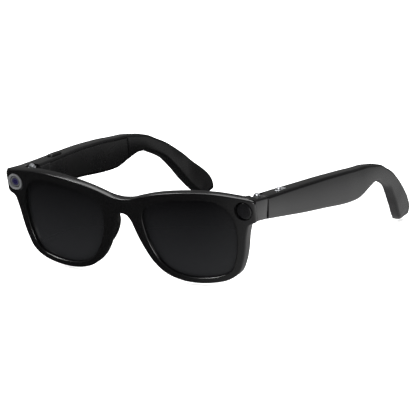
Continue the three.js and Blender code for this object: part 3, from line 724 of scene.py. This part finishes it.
# %% [markdown]
# ## Sun lenses
# Each lens is a bowed sheet that sits in the rim's groove. A flat cut sheet reflects like a
# window, while a real lens is a part of a large sphere. So rings shrink from its edge to the
# middle of the lens, and the sheet swells forward there by a few tenths of a millimetre.
# %% Lens skins
LENS_MIDDLE = np.array([37, -20])


def lens(mirror, swell=0.5, rings=26):
    """Rings between the lens's outline and its middle: the swell falls with the square of the
    distance from the middle, and both faces swell alike."""
    edge = opening[::4] + (LENS_GROOVE - GAP) * opening_out[::4]
    part = np.r_[0, np.linspace(0, 0.985, rings)][:, None, None]
    flat = edge + (LENS_MIDDLE - edge) * part
    bulge = np.r_[[0], swell * (1 - (1 - np.linspace(0, 1, rings)) ** 2)][:, None]
    near = np.stack([flat[..., 0], LENS["front"] - bulge + 0 * flat[..., 0], flat[..., 1]], -1)
    far = near + [0, LENS["thickness"], 0]
    return tube(from_front(bowed(np.concatenate([near[::-1], far])) * mirror))


for side, mirror in zip(("left", "right"), mirrors):
    install(piece(f"lens_{side}_skin", *lens(mirror)), "front", "lens", graded, f"lens_{side}")


# %% [markdown]
# ## Nose pads
# The pads are egg-shaped blocks of the frame's own material, glued behind the rim beside the
# nose. A squashed sphere, turned to lie along the nose, is trimmed where it meets the rim and
# where it would stand in the lens opening.
# %% Pads
def pad(mirror, columns=64, rows=40):
    """A sphere by latitude and longitude, stretched, turned about y and then about z, and moved."""
    turn, climb = np.meshgrid(np.linspace(0, 2 * math.pi, columns, endpoint=False),
                              np.linspace(-math.pi / 2, math.pi / 2, rows))
    ball = np.stack([np.cos(climb) * np.cos(turn), np.cos(climb) * np.sin(turn), np.sin(climb)], -1)
    turned = Matrix.Rotation(math.radians(-14), 3, "Z") @ Matrix.Rotation(math.radians(-24), 3, "Y")
    egg = (ball * [3.1, 6.6, 8.4]) @ np.array(turned).T + [11.6, 6.4, -22]
    trimmed = piece("nose_pad", from_front(egg * mirror), quads(rows, columns))
    edge = opening[::6] - 0.35 * opening_out[::6]
    window = np.stack([with_depth(edge, depth) for depth in (-3, 22)])
    slab = np.array([[-6, -40], [30, -40], [30, 0], [-6, 0]])
    front_side = np.stack([with_depth(slab, depth) for depth in (-14, RIM_DEPTH + 0.35)])
    cuts = [(from_front(bowed(rings) * mirror).reshape(-1, 3), tube(rings)[1])
            for rings in (window, front_side)]
    return combine(trimmed, cuts)


for side, mirror in zip(("left", "right"), mirrors):
    made = pad(mirror)
    made.name = f"nose_pad_{side}_skin"
    shade(made, 40)
    install(made, "front", "pad", pad_finish, f"nose_pad_{side}")

# %% [markdown]
# ## Camera and light
# All of these are turned parts, so each is a profile of radius and depth, spun round its axis.
# The trim ring has a rounded lip and a bevel down to the glass, the glass is slightly domed,
# and the barrel behind it steps down in rings to the pupil. The light's window is a shallow
# dome with a soft edge, in a bevelled seat.
# %% Turned parts
ring_out, ring_in, glass_edge, barrel_edge = CAMERA.values()
ring_profile = [(ring_out, 1.6), (ring_out, 0.3), (ring_out - 0.1, 0.1), (ring_out - 0.3, 0.0),
                (ring_in + 0.45, 0.0), (ring_in + 0.2, 0.08), (ring_in, 0.45), (ring_in, 1.6),
                (ring_out, 1.6)]
dome = [(r * glass_edge, 0.5 + 0.18 * r ** 2) for r in np.linspace(0, 0.96, 12)]
glass_profile = dome + [(glass_edge, 0.78), (glass_edge, 1.3), (0, 1.3)]

barrel_profile = [(0, 2.6), (0.7, 2.5), (0.75, 2.2), (1.3, 2.1), (1.35, 1.9), (1.9, 1.85), (1.95, 1.68),
                  (barrel_edge, 1.65), (barrel_edge, 4.5), (0, 4.5)]

disc = LIGHT["disc"]
window_profile = [(r * disc, 0.3 + 0.12 * r ** 4) for r in np.linspace(0, 0.93, 14)] + [
    (0.97 * disc, 0.44), (0.992 * disc, 0.52), (disc, 0.66), (disc, 1.9), (0, 1.9)]
for name, profile, side, count, slot, made_of, stands_for in (
        ("camera_ring", ring_profile, -1, 128, "ring", anodised, "camera_trim_ring"),
        ("camera_glass", glass_profile, -1, 96, "glass", painted, "camera_cover_glass"),
        ("camera_barrel", barrel_profile, -1, 96, "chip", barrel_finish, "camera_lens_barrel"),
        ("light_window", window_profile, 1, 128, "led", smoked, "recording_light_window")):
    turned = piece(name + "_skin", *lathe(profile, at_module(side), count))
    install(turned, "front", slot, made_of, stands_for)

# %% Charging contacts
for side, x in (("left", CONTACT["x"]), ("right", -CONTACT["x"])):
    pin_profile = [(0, 1.1), (0.6, 1.1), (0.85, 1.03), (0.97, 0.9), (1, 0.75), (1, 0), (0, 0)]
    pin = piece(f"charging_contact_{side}_skin", *lathe(pin_profile,
                lambda points: from_front(points + [x, 3.5, CONTACT["z"]]), 48))
    install(pin, "front", "contact", gold, f"charging_contact_{side}")

# %% [markdown]
# ## Temples
# A temple is a rounded bar whose height and thickness change as it runs back, and which bends
# down behind the ear. It is a sweep: at each distance back, the section is centred on a smooth
# path and stands square to it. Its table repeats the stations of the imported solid.
# %% Stations: back, up, across, height, thickness
TEMPLE = np.array([
    [11.9, -4.3, 68.5, 11.2, 9.6], [25, -4.3, 69.1, 12.5, 9.0], [42, -4.2, 70.3, 14.1, 8.2],
    [58, -4.0, 71.2, 15.1, 7.7], [76, -4.2, 71.4, 15.9, 7.2], [86, -4.0, 71.0, 15.2, 6.9],
    [95, -2.5, 70.4, 12.2, 6.6], [103, -1.8, 69.6, 8.8, 6.3], [109, -2.4, 68.8, 7.9, 6.1],
    [115, -4.6, 67.8, 7.4, 6.0], [122.5, -8.0, 66.2, 7.4, 6.0], [130, -13.8, 64.0, 9.0, 5.9],
    [135.7, -19.2, 62.3, 10.5, 5.8], [141.8, -24.67, 59.9, 11.8, 5.6], [144.9, -27.56, 58.6, 11.2, 5.4],
    [146.1, -29.73, 57.8, 9.6, 5.2], [146.5, -31.03, 57.4, 7.8, 4.4]])
back, up, across, tall, thick = TEMPLE.T
steps = np.linspace(0, 1, 3000)
path_line = flow(np.stack([across, back, up], -1), steps)
size_line = flow(np.stack([thick, tall], -1), steps)
path_run = np.gradient(path_line, axis=0)
path_length = np.r_[0, np.cumsum(np.linalg.norm(np.diff(path_line, axis=0), axis=1))]


def bar(start, end=None, outer=0.0, inner=0.0, deep=None, top=0.0, bottom=0.0, radius=1.5,
        edge=0.3, tip=0.3, step=0.7):
    """A sweep between two distances back, or on to the tip. The edges at its ends are quarter
    circles of edge and tip: each ring there is smaller by as much as the circle has to rise."""
    turn = np.linspace(0, math.pi / 2, 6)
    start, end = (path_length[-1] if back is None else np.interp(back, path_line[:, 1], path_length)
                  for back in (start, end))
    middle = np.linspace(start + edge, end - tip, max(3, int((end - start) / step)))[1:-1]
    at = np.r_[start + edge * (1 - np.cos(turn)), middle, end - tip * (1 - np.cos(turn[::-1]))]
    less = np.r_[edge * (1 - np.sin(turn)), 0 * middle, tip * (1 - np.sin(turn[::-1]))]
    centre, size, run = (pick(table, path_length, at) for table in (path_line, size_line, path_run))
    near = size[:, 0] / 2 - outer if deep is None else deep - size[:, 0] / 2
    far, high, low = inner - size[:, 0] / 2, size[:, 1] / 2 - top, bottom - size[:, 1] / 2
    a, b = section(near - less, far + less, high - less, low + less, radius)
    run = run[:, 1:] / np.linalg.norm(run[:, 1:], axis=1, keepdims=True)
    return np.stack([centre[:, :1] + a, centre[:, 1:2] - b * run[:, 1:], centre[:, 2:] + b * run[:, :1]], -1)


# %% [markdown]
# ## What sits on the temples
# The button, the slide switch, the sound slot and the microphone's hole follow the slope of the
# top or bottom edge. Each is drawn flat, as a bar with round ends, and then laid on that edge.
# %% Laying a drawing on the top or bottom edge
def on_edge(points, back, side=1):
    """Turns a drawing whose z points out of the temple, and sets it on the top (1) or bottom (-1)."""
    line = path_line + np.concatenate([np.zeros((len(steps), 2)), side * size_line[:, 1:] / 2], 1)
    here, ahead, behind = (pick(line, path_line[:, 1], back + shift) for shift in (0, 1, -1))
    slope = math.atan2(ahead[2] - behind[2], ahead[1] - behind[1])
    return lean(points, slope if side == 1 else math.pi + slope) + here


def pill(length, width, rows, count=20):
    """Rings of a bar with round ends. Each row is how far it lies inside that outline, and its z."""
    turn = np.linspace(0, math.pi, count)
    turn = np.r_[turn, turn + math.pi]
    half_run = np.where(np.arange(2 * count) < count, 1, -1) * (length - width) / 2
    inset, z = np.asarray(rows, float).T[..., None]
    radius = np.maximum(width / 2 - inset, 0.02)
    return np.stack([radius * np.cos(turn), half_run + radius * np.sin(turn), z + 0 * turn], -1)


def cutter(length, width, low, high, back, side=1):
    """A straight pill-shaped cutter, set on an edge of the temple."""
    rings = pill(length, width, [(0, low), (0, high)])
    return on_edge(rings, back, side), tube(rings)[1]


# %% Shells
COVER = {"from": 24.7, "to": 94.3, "thickness": 1.3, "inset": 1.0}
BUTTON = {"back": 36.3, "length": 9.4, "width": 3.2, "raised": 0.9}
SWITCH = {"back": 27.4, "length": 7.6, "width": 3.2, "travel": 2.4}
SLOT, MICROPHONE = 71, 30
to_hinge = lambda points: lean(points, FRONT_TILT + TEMPLE_DROP) + PIVOT


def temple(mirror, name, own_cuts):
    """The bar of one temple, less its hinge cuts, the seat of its cover and its openings."""
    rings = bar(11.68, edge=0.15, tip=0.8)
    made = piece(name, from_level(rings * mirror), tube(rings)[1])
    seat = bar(COVER["from"] - GAP, COVER["to"] + GAP, deep=COVER["thickness"] + 0.1, inner=-2,
               top=COVER["inset"], bottom=COVER["inset"], radius=1.2, edge=0.8, tip=0.8)
    post = upright(2.5, np.zeros(3), 26)
    mitre = block([-3.3, -0.9, 0], [9.4, 10, 26])
    cuts = [(seat.reshape(-1, 3), tube(seat)[1])]
    cuts += [(to_hinge(points), sides) for points, sides in (post, mitre)]
    cuts += [cutter(8.6, 2.6, -0.9, 2, SLOT, -1), cutter(1.0, 0.99, -2, 2, MICROPHONE, -1)]
    cuts += own_cuts
    combine(made, [(from_level(points * mirror), sides) for points, sides in cuts])
    shade(made, 32)
    return made


left = temple([1, 1, 1], "temple_left_skin", [
    cutter(SWITCH["length"] + 0.3, SWITCH["width"] + 0.3, -1.3, 3, SWITCH["back"])])
install(left, "temple_left", "frame", nylon, "temple_shell_left")
right = temple([-1, 1, 1], "temple_right_skin", [
    cutter(BUTTON["length"] + 0.36, BUTTON["width"] + 0.36, -2.5, 3, BUTTON["back"])])
install(right, "temple_right", "frame", nylon, "temple_shell_right")

# %% Inner covers
for side, mirror in zip(("left", "right"), mirrors):
    rings = bar(COVER["from"], COVER["to"], deep=COVER["thickness"], top=COVER["inset"] + 0.12,
                bottom=COVER["inset"] + 0.12, radius=0.6, edge=0.4, tip=0.4)
    made = piece(f"temple_cover_{side}_skin", from_level(rings * mirror), tube(rings)[1])
    install(made, f"temple_{side}", "cover", satin, f"temple_cover_{side}")

# %% [markdown]
# ## Button and switch
# The button is a long pill with a rolled edge and a barely domed top. The switch is a steel
# plate let into the temple, with a slot in which a small knob slides. The knob has three fine
# ridges for the fingernail.
# %% Button
roll = [(0.45 * (1 - math.sin(t)), BUTTON["raised"] - 0.45 + 0.45 * math.cos(t))
        for t in np.linspace(math.pi / 2, 0, 8)]
rows = [(0, -1.9), (0, 0.0)] + roll + [(0.9, BUTTON["raised"]), (1.5, BUTTON["raised"])]
rings = pill(BUTTON["length"], BUTTON["width"], rows)
button = piece("capture_button_skin", from_level(on_edge(rings, BUTTON["back"]) * [-1, 1, 1]), tube(rings)[1])
install(button, "capture_button", "frame", nylon, "capture_button")

# %% Switch plate: an outer pill and a slot, joined by rows into one closed ring
outer_ring = pill(SWITCH["length"], SWITCH["width"], [(0, -1), (0, -0.05), (0.08, 0.06), (0.18, 0.1)])
slot_length = SWITCH["travel"] + 2
slot_ring = pill(slot_length, 1.6, [(-0.12, 0.1), (0, 0.02), (0, -1)]) - [0, 0.4, 0]
plate_rings = np.concatenate([outer_ring, slot_ring])
plate = piece("switch_plate_skin", from_level(on_edge(plate_rings, SWITCH["back"])),
              quads(*plate_rings.shape[:2], around_rows=True))
install(plate, "temple_left", "steel", steel, "power_switch_plate")

# %% Knob with ridges
knob_back = SWITCH["back"] - 0.4 - SWITCH["travel"] / 2
rows = [(0.7, -2.2), (0.7, 0.4), (0, 0.4), (0, 0.95), (0.06, 1.08), (0.18, 1.15)] + [
    (inset, 1.15) for inset in np.linspace(0.25, 1.15, 10)]
rings = pill(2.6, 2.4, rows, 32)
rings[6:, :, 2] += 0.05 * np.cos(rings[6:, :, 1] * 2 * math.pi / 0.62)
knob = piece("switch_knob_skin", from_level(on_edge(rings, knob_back)), tube(rings)[1])
install(knob, "power_switch_knob", "steel", steel, "power_switch_knob")

# %% [markdown]
# ## Finishes of the solids that stay
# Hinges, boards, chips, cells and grilles keep their exact solids. Each gets the finish of
# what it is.
# %% Finishes by name
FINISH_OF = {"hinge": steel, "camera_sensor_board": board, "recording_light_board": board,
             "power_board": board, "main_board": board, "endpiece_cover": matte_nylon,
             "brow_flex": flex, "touch_sensor": flex,
             "battery": foil, "speaker_mesh": grille, "speaker": epoxy, "microphone": epoxy,
             "processor": epoxy, "power_switch_body": epoxy, "capture_push_switch": epoxy}
for name, thing in frame["nodes"].items():
    finish_here = next((made for start, made in FINISH_OF.items() if name.startswith(start)), None)
    if finish_here:
        thing.data.materials.clear()
        thing.data.materials.append(finish_here)
        print(name, "is finished in", finish_here.name)

# %% [markdown]
# ## Floor, light and camera
# The glasses stand on a plain white floor in soft light. A broad softbox hangs overhead, and
# two smaller ones stand in front, so that the black plastic shows long soft edges of light. To
# reflection rays alone the floor glows unevenly, as a painted reflection: bright beside the
# glasses and dimmer behind them. The camera is far away with a long lens, which keeps parallel
# edges parallel.
# %% Floor, with a painted reflection glow
floor_mesh = bpy.data.meshes.new("floor")
reach = 5.0
floor_mesh.from_pydata([(-reach, -reach, 0), (reach, -reach, 0), (reach, reach, 0), (-reach, reach, 0)], [],
                       [(0, 1, 2, 3)])
floor = bpy.data.objects.new("floor", floor_mesh)
bpy.context.scene.collection.objects.link(floor)
floor.location.z = -0.0002
white, tree, shader, place = finish("white floor", ior=1.3)
shader.inputs["Base Color"].default_value = (0.9, 0.9, 0.9, 1)
shader.inputs["Roughness"].default_value = 0.9
glow = node(tree, "Emission", {"Color": (1, 1, 1, 1), "Strength": 0.62})
seen = node(tree, "LightPath")
add = node(tree, "AddShader", {0: shader.outputs[0], 1: glow.outputs[0]})
floor_place = node(tree, "SeparateXYZ", {0: place})
# Painted reflection: for glossy rays the floor glows strongest to the right of the glasses, less behind them
# and faintly far away, while the camera sees it evenly bright.
beside = remap(tree, floor_place.outputs["X"], 0.0, 0.14, 0.035, 1.5, interpolation_type="SMOOTHERSTEP")
behind = remap(tree, floor_place.outputs["Y"], 0.04, 0.2, 1.0, 0.35)
painted_reflection_strength = maths(tree, "MULTIPLY", beside, behind)
distance = node(tree, "VectorMath", {0: place}, operation="LENGTH").outputs["Value"]
far = remap(tree, distance, 0.4, 3.0, 0.0, 0.13)
painted_reflection_strength = maths(tree, "ADD", painted_reflection_strength, far)
reflection_glow = node(tree, "Emission", {"Color": (1, 1, 1, 1), "Strength": painted_reflection_strength})
choose = node(tree, "MixShader", {0: seen.outputs["Is Glossy Ray"], 1: add.outputs[0], 2: reflection_glow.outputs[0]})
tree.links.new(choose.outputs[0], tree.nodes["Material Output"].inputs["Surface"])
floor_mesh.materials.append(white)

# %% World and softboxes
world = bpy.data.worlds.new("studio")
bpy.context.scene.world = world
world.use_nodes = True
tree = world.node_tree
seen = node(tree, "LightPath")
strength = remap(tree, seen.outputs["Is Glossy Ray"], 0.0, 1.0, 0.5, 0.16)
tree.links.new(strength, tree.nodes["Background"].inputs["Strength"])
tree.nodes["Background"].inputs["Color"].default_value = (1, 1, 1, 1)


def softbox(name, place, target, size, power):
    """A rectangular area light that looks at a target."""
    data = bpy.data.lights.new(name, "AREA")
    data.shape, data.size, data.size_y, data.energy = "RECTANGLE", *size, power
    lamp = bpy.data.objects.new(name, data)
    bpy.context.scene.collection.objects.link(lamp)
    lamp.location = place
    lamp.rotation_euler = (Vector(target) - Vector(place)).to_track_quat("-Z", "Y").to_euler()


softbox("overhead", (0.0, 0.25, 1.1), (0, 0, 0), (1.4, 1.0), 16)
softbox("front left", (-0.69, -0.58, 0.85), (0, -0.07, 0.03), (0.35, 0.35), 10)
softbox("front right", (0.85, -0.7, 0.22), (0, -0.07, 0.03), (0.3, 0.3), 5)

# %% Camera
TURN, RISE, DISTANCE = math.radians(35), math.radians(10.75), 8500
right_hand = np.array([math.cos(TURN), math.sin(TURN), 0])
upward = np.array([-math.sin(TURN) * math.sin(RISE), math.cos(TURN) * math.sin(RISE), math.cos(RISE)])
backward = np.cross(right_hand, upward)
aim = 41.59 * right_hand + 1.711 * upward - np.array([0, 6.57, 11.21])
lens_data = bpy.data.cameras.new("camera")
lens_data.sensor_width = 36
lens_data.lens = 36 * DISTANCE / 199.4
lens_data.clip_end = 100
camera = bpy.data.objects.new("camera", lens_data)
bpy.context.scene.collection.objects.link(camera)
camera.location = Vector(from_level(aim + DISTANCE * backward) * MM)
axes = np.stack([lean(axis, -TEMPLE_DROP) for axis in (right_hand, upward, backward)], 1)
camera.rotation_euler = Matrix(axes.tolist()).to_euler()
bpy.context.scene.camera = camera
bpy.context.scene.view_settings.view_transform = "Standard"
print("camera stands", DISTANCE / 1000, "m away")
